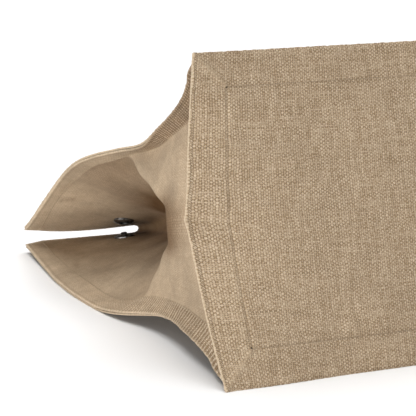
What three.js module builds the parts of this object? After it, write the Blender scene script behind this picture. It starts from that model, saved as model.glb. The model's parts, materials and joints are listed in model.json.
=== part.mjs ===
// Linen tote bag with rolled leather handles, laid on its back panel with the mouth pressed nearly flat.
// Millimetres. +X runs across the bag, +Y from the base to the mouth, +Z up off the back panel.
import * as THREE from 'three';
import { mergeVertices } from 'three/addons/utils/BufferGeometryUtils.js';

// Overall size of the sewn bag; the base leans in by baseLean at its upper edge
const bagWidth = 360;
const baseDepth = 150;
const mouthReach = 278;
const baseLean = 36.5;

// Cloth, lining and the clearance kept between touching plies
const linenThickness = 1;
const liningThickness = 0.5;
const plyGap = 0.3;
const seamGap = 0.7;
const seatGap = 0.6;

// Pinched seams: the base is sewn 16 mm in from its edges, the sides 10 mm in
const baseFlange = 16;
const sideFlange = 10;
const flareShare = 0.22;

// The two ends of the base are pushed in: deepest at dentHeight, sharp at the edge, soft further in
const dentDepth = 27;
const dentHeight = 0.47;
const dentRound = 0.06;
const dentGrip = 20;
const dentReach = 140;
const softDent = 0.2;
const lowerBelly = 0.16;
const upperBelly = 0.05;

// Front panel from the base seam to the rim, and how soon the back panel lies on the floor
const frontSag = 6;
const rimHeight = 19;
const frontEase = 110;
const backEase = 55;
const floorReach = 0.3;

// Side gussets: a flat wall by the base, then two lobes folded in along a middle crease
const wallInset = 14;
const wallEnd = 94;
const wallEndHeight = 53;
const upperCreaseEnd = 0.55;
const lowerCreaseEnd = 0.47;
const foldReach = 73;
const foldHeight = 8;
const foldDive = 2.5;
const wallNose = 6;
const foldNose = 3.3;
const noseSetback = 4;
const lobeShare = 0.46;

// Stiffener behind the base
const boardThickness = 2;

// Linen facings inside the mouth, with the linings sewn below them
const facingDepth = 36;
const facingLap = 0.6;
const tailSlopeRun = 14;

// Press studs on the folded side gussets
const pressRadius = 6;
const pressHeight = 2.4;
const pressBore = 2.3;
const capRadius = 6.5;
const capHeight = 1.4;
const pressFromRim = 28;
const pressAlongLobe = 0.7;

// Rolled leather handles and the flat tails that hold them inside the hem
const handleRadius = 4.5;
const handleSpacing = 120;
const handleDrop = 150;
const strapWidth = 20;
const strapThickness = 3.2;
const flatRun = 8;
const rollingRun = 34;
const tailLength = 30;
const knuckleReach = 4;
const knuckleGap = 0.35;
const frontKnuckleRise = 1.2;
const frontLift = 2.4;

// Seam paths of one side, at equal steps from the base seam to the mouth
const frontSeamInset = [baseFlange, 17.5, 19, 21, 16.5, 9, 7, 6, 6.5];
const frontSeamLift = [0, -1, -1, 1, 6.5, 11, 11.5, 7.5, 0];
const frontSeamRim = 13.6;
const frontFlangeTilt = [45, 48, 48, 14, 18, 15, 10, 8, 8];
const backSeamInset = [baseFlange, 12, 12, 12.5, 7, 4, 4, 5.5, 8];
const backSeamLift = [0, 3.9, 5.7, 2.4, -6.6, -5.6, -4.3, -2.7, 0];
const backSeamRim = 5.3;
const backFlangeTilt = [-45, -46, -52, -40, -12, -11, -10, -8, -8];

// Colours by eye: natural linen, cotton lining, grey board, tan leather, gunmetal
const linen = { color: 0xb09c80, roughness: 0.92, metalness: 0 };
const cotton = { color: 0xd8cbb4, roughness: 0.9, metalness: 0 };
const board = { color: 0x8b8880, roughness: 0.85, metalness: 0 };
const leather = { color: 0x9a6238, roughness: 0.5, metalness: 0 };
const gunmetal = { color: 0x5b5a58, roughness: 0.35, metalness: 0.9 };

const baseRise = Math.sqrt(baseDepth ** 2 - baseLean ** 2);
const seamShare = baseFlange / baseDepth;
const inward = new THREE.Vector3(0, baseRise / baseDepth, -baseLean / baseDepth);
const { clamp, lerp, degToRad } = THREE.MathUtils;
const at = (x, y, z) => new THREE.Vector3(x, y, z);
const mix = (p, q, s) => p.clone().lerp(q, s);
const ease = (s) => (1 + Math.cos(Math.PI * clamp(s, 0, 1))) / 2;
const steps = (from, to, count) => Array.from({ length: count + 1 }, (_, k) => lerp(from, to, k / count));
const acrossWidth = (u) => lerp(baseFlange, bagWidth - baseFlange, u);

const bag = new THREE.Group();

function add(name, geometry, finish) {
  geometry.computeVertexNormals();
  const mesh = new THREE.Mesh(geometry, new THREE.MeshStandardMaterial(finish));
  mesh.name = name;
  bag.add(mesh);
}

// A smooth value through evenly spaced stations
function along(values, v) {
  const last = values.length - 1;
  const k = Math.min(Math.floor(v * last), last - 1);
  const s = v * last - k;
  const p = [k - 1, k, k + 1, k + 2].map((i) => values[clamp(i, 0, last)]);
  const slopeIn = (p[2] - p[0]) / 2;
  const slopeOut = (p[3] - p[1]) / 2;
  const a = 2 * p[1] - 2 * p[2] + slopeIn + slopeOut;
  const b = 3 * (p[2] - p[1]) - 2 * slopeIn - slopeOut;
  return ((a * s + b) * s + slopeIn) * s + p[1];
}

// The direction across a grid of points at one of them
function gridNormal(rows, j, i) {
  const up = rows[Math.min(j + 1, rows.length - 1)][i].clone().sub(rows[Math.max(j - 1, 0)][i]);
  const over = rows[j][Math.min(i + 1, rows[j].length - 1)].clone().sub(rows[j][Math.max(i - 1, 0)]);
  return over.cross(up).normalize();
}

const offset = (rows, distance) =>
  rows.map((row, j) => row.map((p, i) => p.clone().addScaledVector(gridNormal(rows, j, i), distance)));

// A closed ply between two grids of points of the same size; the guide grid says how its cells are split
function ply(near, far, guide = near) {
  const height = near.length;
  const width = near[0].length;
  const index = [];
  const id = (side, j, i) => side * width * height + j * width + i;
  const quad = (a, b, c, d, turn) => index.push(...(turn ? [b, c, d, b, d, a] : [a, b, c, a, c, d]));
  for (let j = 0; j < height - 1; j++) {
    for (let i = 0; i < width - 1; i++) {
      const rising = guide[j][i].distanceTo(guide[j + 1][i + 1]);
      const turn = guide[j][i + 1].distanceTo(guide[j + 1][i]) < rising;
      quad(id(0, j, i), id(0, j, i + 1), id(0, j + 1, i + 1), id(0, j + 1, i), turn);
      quad(id(1, j, i), id(1, j + 1, i), id(1, j + 1, i + 1), id(1, j, i + 1), turn);
    }
    quad(id(0, j, 0), id(0, j + 1, 0), id(1, j + 1, 0), id(1, j, 0), false);
    const last = width - 1;
    quad(id(0, j, last), id(1, j, last), id(1, j + 1, last), id(0, j + 1, last), false);
  }
  for (let i = 0; i < width - 1; i++) {
    const top = height - 1;
    quad(id(0, 0, i), id(1, 0, i), id(1, 0, i + 1), id(0, 0, i + 1), false);
    quad(id(0, top, i), id(0, top, i + 1), id(1, top, i + 1), id(1, top, i), false);
  }
  return closed([...near.flat(), ...far.flat()], index);
}

// A mesh from points and triangles, turned so that its faces point out
function closed(points, index) {
  let volume = 0;
  for (let k = 0; k < index.length; k += 3) {
    const [p, q, r] = [points[index[k]], points[index[k + 1]], points[index[k + 2]]];
    volume += p.dot(q.clone().cross(r));
  }
  if (volume < 0) index.reverse();
  const coordinates = points.flatMap((p) => [p.x, p.y, p.z]);
  const geometry = new THREE.BufferGeometry();
  geometry.setAttribute('position', new THREE.Float32BufferAttribute(coordinates, 3));
  geometry.setIndex(index);
  return geometry;
}

const cloth = (rows, from, thickness) => ply(offset(rows, from), offset(rows, from + thickness), rows);
const opposite = (p) => at(bagWidth - p.x, p.y, p.z);
const mirrored = (rows) => rows.map((row) => row.map(opposite).reverse());

// Base panel, inner face: x starts at its left edge and t runs up its depth
function dent(x, t) {
  const fromEnd = Math.min(x, bagWidth - x);
  const lower = t < dentHeight;
  const height = lower ? t / dentHeight : (1 - t) / (1 - dentHeight);
  const crease = Math.hypot(1, dentRound) - Math.hypot(1 - height, dentRound);
  const belly = (lower ? lowerBelly : upperBelly) * Math.sin(Math.PI * height);
  const fade = (1 - softDent) * Math.exp(-fromEnd / dentGrip) + softDent * ease(fromEnd / dentReach);
  return dentDepth * Math.max(crease + belly, 0) * fade;
}

function base(x, t, depth = 0) {
  return at(x, baseLean * t + dent(x, t), baseRise * t).addScaledVector(inward, depth);
}

// Front and back side seams on the left, v of the way from the base seam to the mouth
function seamPath(startShare, inset, lift, rim, v) {
  const start = base(baseFlange, startShare, seamGap);
  return at(along(inset, v), lerp(start.y, mouthReach, v), lerp(start.z, rim, v) + along(lift, v));
}

const frontSeam = (v) => seamPath(1 - seamShare, frontSeamInset, frontSeamLift, frontSeamRim, v);
const backSeam = (v) => seamPath(seamShare, backSeamInset, backSeamLift, backSeamRim, v);

// The pinched strip outside a side seam: its outer edge and the direction across its two plies
function flange(seam, tilts, v) {
  const reach = 0.02;
  const run = seam(Math.min(v + reach, 1)).sub(seam(Math.max(v - reach, 0))).normalize();
  const out = at(-1, 0, 0).addScaledVector(run, run.x).normalize();
  const up = run.clone().cross(out);
  const tilt = degToRad(along(tilts, v));
  const direction = out.multiplyScalar(Math.cos(tilt)).addScaledVector(up, Math.sin(tilt));
  const cornerWidth = baseFlange * Math.SQRT2 - linenThickness;
  const width = lerp(sideFlange, cornerWidth, Math.max(0, 1 - v / flareShare) ** 2);
  return {
    edge: seam(v).addScaledVector(direction, width),
    across: run.clone().cross(direction).normalize(),
  };
}

const frontFlange = (v) => flange(frontSeam, frontFlangeTilt, v);
const backFlange = (v) => flange(backSeam, backFlangeTilt, v);

// Height of the middle of each panel, given the height at which it leaves the base seam
const frontMid = (start, v) => lerp(start, rimHeight, v) - frontSag * Math.sin(Math.PI * v);
const backMid = (start, v) => linenThickness + (start - linenThickness) * ease(v / floorReach);

const front = { seam: frontSeam, strip: frontFlange, side: 1, mid: frontMid, reach: frontEase };
const back = { seam: backSeam, strip: backFlange, side: -1, mid: backMid, reach: backEase };

// Inner face of the front or back panel, u of the way across between its side seams
function panelPoint(panel, u, v) {
  const left = panel.seam(v).addScaledVector(panel.strip(v).across, panel.side * plyGap / 2);
  const x = lerp(left.x, bagWidth - left.x, u);
  const start = base(x, panel.side > 0 ? 1 - seamShare : seamShare, seamGap);
  const edge = ease(Math.min(x - left.x, bagWidth - left.x - x) / panel.reach);
  const y = lerp(lerp(start.y, mouthReach, v), left.y, edge);
  return at(x, y, lerp(panel.mid(start.z, v), left.z, edge));
}

// Shares across the width between the two end seams, closer together near the ends
const endShares = [0, 0.03, 0.075, 0.14, 0.23, 0.35];
const innerShares = [...endShares, 0.5, ...endShares.map((u) => 1 - u).reverse()];

// The middle crease of a gusset: along the wall first, then deep in between the lobes and on to the mouth
const wallStart = base(baseFlange, dentHeight, seamGap);
const wallCorner = at(wallInset, wallEnd, wallEndHeight);
const foldEnd = at(foldReach, mouthReach, foldHeight);
const wallShare = (wallEnd - wallStart.y) / (mouthReach - wallStart.y);

// Stations from the base seam to the mouth, through the end of the wall and the edge of the facing
const facingShare = facingDepth / mouthReach;
const wallStations = [0, 0.2, 0.4, 0.7, 1].map((share) => share * wallShare);
const foldStations = steps(wallShare, 1 - facingShare, 8).slice(1);
const stations = [...wallStations, ...foldStations, 1 - facingShare / 2, 1];

// A whole panel: its allowance behind the base, its face, and its two side strips
const cornerInset = { row: 1.2, fold: 4 };
const cornerShare = 0.022;
const edgeShare = 0.004;

function panelRows(panel) {
  const upper = panel.side > 0;
  const tipShare = upper ? 1 - cornerShare : cornerShare;
  const foldShare = upper ? 1 - edgeShare : 2 * edgeShare;
  const withTips = (tip, row) => [tip, ...row, opposite(tip)];
  const rows = stations.map((v) => {
    const { edge, across } = panel.strip(v);
    edge.addScaledVector(across, panel.side * plyGap / 2);
    const tip = v === 0 ? base(cornerInset.row, tipShare, seamGap) : edge;
    return withTips(tip, innerShares.map((u) => panelPoint(panel, u, v)));
  });
  const fold = innerShares.map((u) => base(acrossWidth(u), foldShare, seamGap));
  return [withTips(base(cornerInset.fold, foldShare, seamGap), fold), ...rows];
}

function creasePoint(v) {
  if (v < wallShare) return mix(wallStart, wallCorner, v / wallShare);
  const run = (v - wallShare) / (1 - wallShare);
  const point = mix(wallCorner, foldEnd, run);
  point.x = lerp(wallInset, foldReach, 1 - (1 - run) ** foldDive);
  return point;
}

// One half of a section, from the side seam to the rounded nose of the middle crease
function halfSection(edge, seam, creaseEnd, rise, v, s) {
  const folded = clamp((v - wallShare) / (1 - wallShare), 0, 1);
  const nose = creasePoint(v).add(at(-noseSetback * folded, 0, rise * lerp(wallNose, foldNose, folded)));
  if (v <= wallShare || v >= creaseEnd) return mix(edge, nose, s);
  const bend = mix(wallCorner, seam(creaseEnd), (v - wallShare) / (creaseEnd - wallShare));
  const first = edge.distanceTo(bend);
  const whole = first + bend.distanceTo(nose);
  const run = s * whole;
  return run < first ? mix(edge, bend, run / first) : mix(bend, nose, (run - first) / (whole - first));
}

// Inner face of the left gusset, a of the way from its upper seam to its lower one
function gussetPoint(a, v) {
  if (v === 0) return base(baseFlange, lerp(1 - seamShare, seamShare, a), seamGap);
  if (a === 0.5) return creasePoint(v);
  const upper = a < 0.5;
  const [seam, strip, side] = upper ? [frontSeam, frontFlange, 1] : [backSeam, backFlange, -1];
  const edge = seam(v).addScaledVector(strip(v).across, -side * plyGap / 2);
  const s = (upper ? a : 1 - a) / lobeShare;
  return halfSection(edge, seam, upper ? upperCreaseEnd : lowerCreaseEnd, side, v, s);
}

const gussetShares = [...steps(0, lobeShare, 6), 0.5, ...steps(1 - lobeShare, 1, 6)];
const gussetCorner = { inset: 0.6, foldInset: 0.5, share: 0.04, foldShare: 0.055 };

function gussetRows() {
  const rows = stations.map((v) => {
    const [top, bottom] = [frontFlange(v), backFlange(v)];
    const upper = top.edge.addScaledVector(top.across, -plyGap / 2);
    const lower = bottom.edge.addScaledVector(bottom.across, plyGap / 2);
    const tips = v === 0
      ? [1 - gussetCorner.share, gussetCorner.share].map((t) => base(gussetCorner.inset, t, seamGap))
      : [upper, lower];
    return [tips[0], ...gussetShares.map((a) => gussetPoint(a, v)), tips[1]];
  });
  const heights = gussetShares.map((a) => lerp(1 - seamShare, seamShare, a));
  const fold = [1 - gussetCorner.foldShare, ...heights, gussetCorner.foldShare];
  return [fold.map((t) => base(gussetCorner.foldInset, t, seamGap)), ...rows];
}

// Outer linen
const halfFlange = baseFlange / 2;
const baseColumns = [0, halfFlange, ...innerShares.map(acrossWidth), bagWidth - halfFlange, bagWidth];
const innerHeights = gussetShares.map((a) => lerp(seamShare, 1 - seamShare, a));
const baseHeights = [0, seamShare / 2, ...innerHeights, 1 - seamShare / 2, 1];
const baseRows = baseHeights.map((t) => baseColumns.map((x) => base(x, t)));
const sideRows = gussetRows();
add('base_panel', cloth(baseRows, 0, linenThickness), linen);
add('front_panel', cloth(panelRows(front), 0, linenThickness), linen);
add('back_panel', cloth(panelRows(back), 0, -linenThickness), linen);
add('left_gusset', cloth(sideRows, 0, -linenThickness), linen);
add('right_gusset', cloth(mirrored(sideRows), 0, -linenThickness), linen);

// Stiff board behind the base, then the cotton linings: all stop short of the pinched seams
const boardRows = baseRows.slice(3, -3).map((row) => row.slice(4, -4));
const liningShares = innerShares.slice(2, -2);
const liningRows = (panel) =>
  stations.slice(1, -2).map((v) => liningShares.map((u) => panelPoint(panel, u, v)));
const gussetLiningRows = stations.slice(1, -1).map((v) =>
  gussetShares.slice(2, -2).map((a) => gussetPoint(a, v)));
add('base_board', cloth(boardRows, -plyGap, -boardThickness), board);
add('base_lining', cloth(boardRows, -2 * plyGap - boardThickness, -liningThickness), cotton);
add('front_lining', cloth(liningRows(front), -plyGap, -liningThickness), cotton);
add('back_lining', cloth(liningRows(back), plyGap, liningThickness), cotton);
add('left_gusset_lining', cloth(gussetLiningRows, seatGap + plyGap, liningThickness), cotton);
add('right_gusset_lining', cloth(mirrored(gussetLiningRows), seatGap + plyGap, liningThickness), cotton);

// A point on the flat facets of a panel, so that narrow pieces lie against it
function onFacets(panel, x, v) {
  const [left, right] = [panelPoint(panel, 0, v).x, panelPoint(panel, 1, v).x];
  const u = (x - left) / (right - left);
  const k = clamp(innerShares.findIndex((share) => share > u) - 1, 0, innerShares.length - 2);
  const s = (u - innerShares[k]) / (innerShares[k + 1] - innerShares[k]);
  return mix(panelPoint(panel, innerShares[k], v), panelPoint(panel, innerShares[k + 1], v), s);
}

const onPanel = (panel, shares, columns) => shares.map((v) => columns.map((x) => onFacets(panel, x, v)));

// Mouth facings: they stand off the panel where a handle tail lies between the two
const handleSides = [(bagWidth - handleSpacing) / 2, (bagWidth + handleSpacing) / 2];
const tailRoom = strapWidth / 2 + linenThickness;
const tailSlope = tailRoom + tailSlopeRun;
const facingColumns = [
  ...liningShares.slice(0, 2).map(acrossWidth),
  ...handleSides.flatMap((x) => [-tailSlope, -tailRoom, tailRoom, tailSlope].map((reach) => x + reach)),
  ...liningShares.slice(-2).map(acrossWidth),
];

function facing(panel) {
  const lowest = 1 - (facingDepth - facingLap) / mouthReach;
  const rows = onPanel(panel, [lowest, 1 - facingShare / 2, 1], facingColumns);
  const lifted = (extra) => rows.map((row, j) => row.map((p, i) => {
    const overTail = handleSides.some((x) => Math.abs(facingColumns[i] - x) < tailRoom + plyGap);
    const distance = (overTail ? strapThickness + 2 * plyGap : seatGap) + extra;
    return p.clone().addScaledVector(gridNormal(rows, j, i), -panel.side * distance);
  }));
  return ply(lifted(0), lifted(linenThickness));
}

add('front_facing', facing(front), linen);
add('back_facing', facing(back), linen);

// Handle knuckles: the lines just past the rims about which the straps bend
const knuckleRadius = strapThickness / 2;
const knuckleY = mouthReach + knuckleReach;
const backKnuckle = at(0, knuckleY, linenThickness + plyGap + knuckleRadius);
const frontKnuckle = at(0, knuckleY, rimHeight + frontKnuckleRise);

// A strap end held flat between panel and facing, with a lip that reaches the knuckle
function tail(panel, x, lipY, lipZ) {
  const columns = [x - strapWidth / 2, x, x + strapWidth / 2];
  const rows = onPanel(panel, [1 - tailLength / mouthReach, 1 - facingShare / 2, 1], columns);
  const near = offset(rows, -panel.side * plyGap);
  const far = offset(rows, -panel.side * (plyGap + strapThickness));
  near.push(columns.map((c) => at(c, lipY, lipZ)));
  far.push(columns.map((c) => at(c, lipY, lipZ - panel.side * strapThickness)));
  return ply(near, far);
}

const frontLipHeight = frontKnuckle.z - knuckleRadius - knuckleGap;
const backLipReach = knuckleY - knuckleRadius - knuckleGap;
for (const [k, x] of handleSides.entries()) {
  const end = ['left', 'right'][k];
  add(`front_${end}_tail`, tail(front, x, knuckleY + seatGap, frontLipHeight), leather);
  add(`back_${end}_tail`, tail(back, x, backLipReach, linenThickness + plyGap), leather);
}

// A rolled handle: flat at its two ends, round between, bent to an arch in its own plane
function handle(knuckle, angle, lift) {
  const arch = handleSpacing / 2;
  const leg = handleDrop - arch;
  const outward = at(0, Math.cos(angle), Math.sin(angle));
  const normal = at(1, 0, 0).cross(outward).multiplyScalar(angle > Math.PI / 2 ? -1 : 1);
  const roundedEnd = [-0.94, -0.6].map((share) => share * knuckleRadius);
  const rolled = flatRun + rollingRun;
  const legRuns = [...roundedEnd, 0, ...steps(flatRun, rolled, 5), (rolled + leg) / 2, leg];
  const route = [
    ...legRuns.map((q) => ({ p: -arch, q, turn: 0, run: q })),
    ...steps(0, Math.PI, 12).slice(1, -1).map((t) => ({
      p: -arch * Math.cos(t), q: leg + arch * Math.sin(t), turn: t, run: leg,
    })),
    ...legRuns.map((q) => ({ p: arch, q, turn: Math.PI, run: q })).reverse(),
  ];
  const sides = 12;
  const turns = steps(0, 2 * Math.PI, sides).slice(0, -1);
  const rings = route.map(({ p, q, turn, run }) => {
    const round = 1 - ease((run - flatRun) / rollingRun);
    const cap = run < 0 ? Math.sqrt(1 - (run / knuckleRadius) ** 2) : 1;
    const halfWidth = lerp(strapWidth / 2, handleRadius, round);
    const halfHeight = lerp(knuckleRadius, handleRadius, round) * cap;
    const square = (value) => Math.sign(value) * Math.abs(value) ** lerp(0.5, 1, round);
    const centre = at(bagWidth / 2 + p, knuckle.y, knuckle.z);
    centre.addScaledVector(outward, q).addScaledVector(normal, lift * round);
    const across = at(Math.cos(turn), 0, 0).addScaledVector(outward, -Math.sin(turn));
    return turns.map((t) => centre.clone()
      .addScaledVector(across, square(Math.cos(t)) * halfWidth)
      .addScaledVector(normal, square(Math.sin(t)) * halfHeight));
  });
  const index = [];
  for (let j = 0; j < rings.length - 1; j++) {
    for (let k = 0; k < sides; k++) {
      const next = (k + 1) % sides;
      const [a, b] = [j * sides + k, j * sides + next];
      index.push(a, b, b + sides, a, b + sides, a + sides);
    }
  }
  const end = (rings.length - 1) * sides;
  for (let k = 1; k < sides - 1; k++) index.push(0, k + 1, k, end, end + k, end + k + 1);
  return closed(rings.flat(), index);
}

// The front handle is laid back over the front panel, as low as its roll allows
const frontStart = panelPoint(front, 0.5, 0);
const panelShare = (y) => (y - frontStart.y) / (mouthReach - frontStart.y);
const frontTop = (y) => frontMid(frontStart.z, panelShare(y)) + linenThickness;
const clears = (slope) => steps(flatRun + rollingRun, handleDrop, 22).every((q) => {
  const y = knuckleY - q * Math.cos(slope) + frontLift * Math.sin(slope);
  const z = frontKnuckle.z + q * Math.sin(slope) + frontLift * Math.cos(slope);
  return z - (handleRadius + 1.5 * plyGap) / Math.cos(slope) > frontTop(y);
});
let frontSlope = 0;
while (!clears(frontSlope)) frontSlope += degToRad(0.1);
add('front_handle', handle(frontKnuckle, Math.PI - frontSlope, frontLift), leather);
add('back_handle', handle(backKnuckle, 0, handleRadius - backKnuckle.z), leather);

// Press studs: a socket on each upper lobe faces a stud on the lower one, each held by a cap inside.
// Profiles are shares of the radius and of the height.
const bore = pressBore / pressRadius;
const socketRing = [[0, 0], [1, 0], [1, 0.5], [0.82, 0.83], [0.55, 1]];
const socketProfile = [...socketRing, [bore, 0.92], [bore, 0.4], [0, 0.4]];
const studShank = [[0.34, 0.54], [0.28, 0.72], [0.33, 0.96], [0.22, 1.15], [0, 1.15]];
const studProfile = [[0, 0], [1, 0], [1, 0.33], [0.75, 0.5], ...studShank];
const capProfile = [[0, 0], [1, 0], [0.96, 0.5], [0.6, 0.9], [0, 1]];

function turned(profile, radius, height) {
  const points = profile.map(([r, y]) => new THREE.Vector2(r * radius, y * height));
  const geometry = new THREE.LatheGeometry(points, 20);
  geometry.deleteAttribute('uv');
  geometry.deleteAttribute('normal');
  return mergeVertices(geometry, 1e-4);
}

// Seats a turned piece on the gusset at share a, d away from its inner face; side -1 is the outer face
function seat(geometry, a, side, distance, right) {
  const v = 1 - pressFromRim / mouthReach;
  const step = 0.01;
  const over = gussetPoint(a + step, v).sub(gussetPoint(a - step, v));
  const up = gussetPoint(a, v + step).sub(gussetPoint(a, v - step));
  const normal = over.cross(up).normalize().multiplyScalar(side);
  const place = gussetPoint(a, v).addScaledVector(normal, distance);
  if (right) {
    normal.x = -normal.x;
    place.copy(opposite(place));
  }
  const turn = new THREE.Quaternion().setFromUnitVectors(at(0, 1, 0), normal);
  return geometry.applyQuaternion(turn).translate(place.x, place.y, place.z);
}

const upperShare = lobeShare * pressAlongLobe;
const lowerShare = 1 - upperShare;
const outerSeat = linenThickness + seatGap;
const innerSeat = 2 * seatGap + liningThickness + plyGap;
for (const [end, right] of [['left', false], ['right', true]]) {
  const socket = turned(socketProfile, pressRadius, pressHeight);
  const stud = turned(studProfile, pressRadius, pressHeight);
  const cap = () => turned(capProfile, capRadius, capHeight);
  add(`${end}_press_socket`, seat(socket, upperShare, -1, outerSeat, right), gunmetal);
  add(`${end}_press_stud`, seat(stud, lowerShare, -1, outerSeat, right), gunmetal);
  add(`${end}_socket_cap`, seat(cap(), upperShare, 1, innerSeat, right), gunmetal);
  add(`${end}_stud_cap`, seat(cap(), lowerShare, 1, innerSeat, right), gunmetal);
}

// The origin lies under the middle of the whole bag
const box = new THREE.Box3().setFromObject(bag);
bag.position.set(-(box.min.x + box.max.x) / 2, -(box.min.y + box.max.y) / 2, 0);

export default bag;
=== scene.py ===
# The looks of a linen tote bag that lies on its back panel, with its mouth away and its gussets folded in.
# Metres. +X runs across the bag, +Y from the base to the mouth, +Z up off the back panel.
import json
import math

import bpy
import numpy as np
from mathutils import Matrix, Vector


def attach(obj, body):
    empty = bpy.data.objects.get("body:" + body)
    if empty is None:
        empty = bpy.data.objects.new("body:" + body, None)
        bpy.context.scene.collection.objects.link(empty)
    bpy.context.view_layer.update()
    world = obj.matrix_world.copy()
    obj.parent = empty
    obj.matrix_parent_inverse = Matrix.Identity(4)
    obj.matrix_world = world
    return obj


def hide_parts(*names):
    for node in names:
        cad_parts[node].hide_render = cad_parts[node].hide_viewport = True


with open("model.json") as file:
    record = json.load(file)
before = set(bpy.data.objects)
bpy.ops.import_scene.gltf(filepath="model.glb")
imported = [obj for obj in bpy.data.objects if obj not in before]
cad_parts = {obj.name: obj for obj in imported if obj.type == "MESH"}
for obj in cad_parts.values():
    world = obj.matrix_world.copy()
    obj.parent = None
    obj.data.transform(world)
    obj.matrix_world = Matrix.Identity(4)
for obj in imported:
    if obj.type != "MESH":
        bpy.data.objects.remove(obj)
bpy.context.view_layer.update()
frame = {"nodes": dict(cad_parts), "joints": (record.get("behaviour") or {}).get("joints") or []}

# Camera. It stands low off the left corner of the base and looks along the bag towards its mouth,
# 24 degrees to the right and 12.5 degrees down, with a long lens.
look_right = 24
look_down = 12.5


def put(name, data):
    """A new object of the scene."""
    made = bpy.data.objects.new(name, data)
    bpy.context.scene.collection.objects.link(made)
    return made


lens = bpy.data.cameras.new("camera")
lens.angle = math.radians(14.34)
camera = put("camera", lens)
camera.location = (-0.4696, -0.8487, 0.2370)
camera.rotation_euler = (math.radians(90 - look_down), 0, math.radians(-look_right))
bpy.context.scene.camera = camera

# Base panel. One piece of stiff natural linen, 360 by 150 mm, whose four edges are folded in and pinched
# to the panels behind them. Its two ends have been pushed in at half height, with a soft level crease.
mm = 0.001
bag_width = 0.360
base_depth = 0.150
base_lean = 0.0365
mouth_reach = 0.278
base_flange = 0.016
linen_thickness = 0.001
ply_gap = 0.0003
seam_gap = 0.0007
dent_depth = 0.0262
dent_height = 0.47
dent_round = 0.03
dent_grip = 0.020
dent_reach = 0.140
soft_dent = 0.2
lower_belly = 0.14
upper_belly = 0.05
kink_depth = 0.0036
kink_share = 0.035
kink_grip = 0.012
base_wave = 0.0007
base_wave_length = 0.07
knuckle_reach = 0.004
base_rise = math.sqrt(base_depth**2 - base_lean**2)
seam_share = base_flange / base_depth
inward = np.array([0, base_rise, -base_lean]) / base_depth
hinge = {joint["child"]: np.array(joint["pos_m"]) for joint in frame["joints"]}
corner_place = np.array([-bag_width / 2, hinge["back_handle"][1] - knuckle_reach - mouth_reach, 0])


def lerp(a, b, s):
    return a + (b - a) * s


def ease(s):
    return (1 + np.cos(np.pi * np.clip(s, 0, 1))) / 2


def smooth(s):
    s = np.clip(s, 0, 1)
    return s * s * (3 - 2 * s)


def size(vectors):
    return np.linalg.norm(vectors, axis=-1)


def unit(vectors):
    return vectors / np.maximum(size(vectors), 1e-12)[..., None]


def dent(x, t):
    """How far the base is pushed in, x from its left edge and t up its depth."""
    from_end = np.minimum(x, bag_width - x)
    lower = t < dent_height
    height = np.where(lower, t / dent_height, (1 - t) / (1 - dent_height))
    crease = math.hypot(1, dent_round) - np.hypot(1 - height, dent_round)
    belly = np.where(lower, lower_belly, upper_belly) * np.sin(np.pi * height)
    fade = (1 - soft_dent) * np.exp(-from_end / dent_grip) + soft_dent * ease(from_end / dent_reach)
    kink = kink_depth * np.exp(-np.abs(t - dent_height) / kink_share - from_end / kink_grip)
    return dent_depth * np.maximum(crease + belly, 0) * fade + kink


def sway(x, y, seed, length, waves=6):
    """A gentle unevenness from -1 to 1, the same each run."""
    draw = np.random.default_rng(seed)
    total = 0
    for _ in range(waves):
        turn, phase = draw.uniform(0, 2 * np.pi, 2)
        pace = draw.uniform(0.6, 1.6) * 2 * np.pi / length
        total = total + np.sin(pace * (x * np.cos(turn) + y * np.sin(turn)) + phase)
    return total / waves


def base_point(x, t, depth=0.0):
    """A point of the base's inner face, x from its left edge and t up its depth."""
    x, t = np.broadcast_arrays(np.asarray(x, float), np.asarray(t, float))
    depth = depth + base_wave * sway(x, t * base_depth, 3, base_wave_length)
    flat = np.stack([x, base_lean * t + dent(x, t), base_rise * t], -1)
    return flat + np.asarray(depth)[..., None] * inward


def normals(rows):
    return unit(np.cross(np.gradient(rows, axis=1), np.gradient(rows, axis=0)))


def offset(rows, distance):
    return rows + normals(rows) * np.asarray(distance)[..., None]


def new_piece(name, points, faces, cloth=None, marks=None):
    """A mesh object whose points are given from the bag's left base corner."""
    mesh = bpy.data.meshes.new(name)
    mesh.from_pydata((points + corner_place).tolist(), [], faces)
    if cloth is not None:
        layer = mesh.uv_layers.new(name="cloth")
        corners = np.zeros(len(mesh.loops), int)
        mesh.loops.foreach_get("vertex_index", corners)
        layer.data.foreach_set("uv", cloth[corners].astype(np.float32).ravel())
    for label, values in (marks or {}).items():
        attribute = mesh.attributes.new(label, "FLOAT", "POINT")
        attribute.data.foreach_set("value", values.astype(np.float32))
    mesh.shade_smooth()
    return put(name, mesh)


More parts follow.
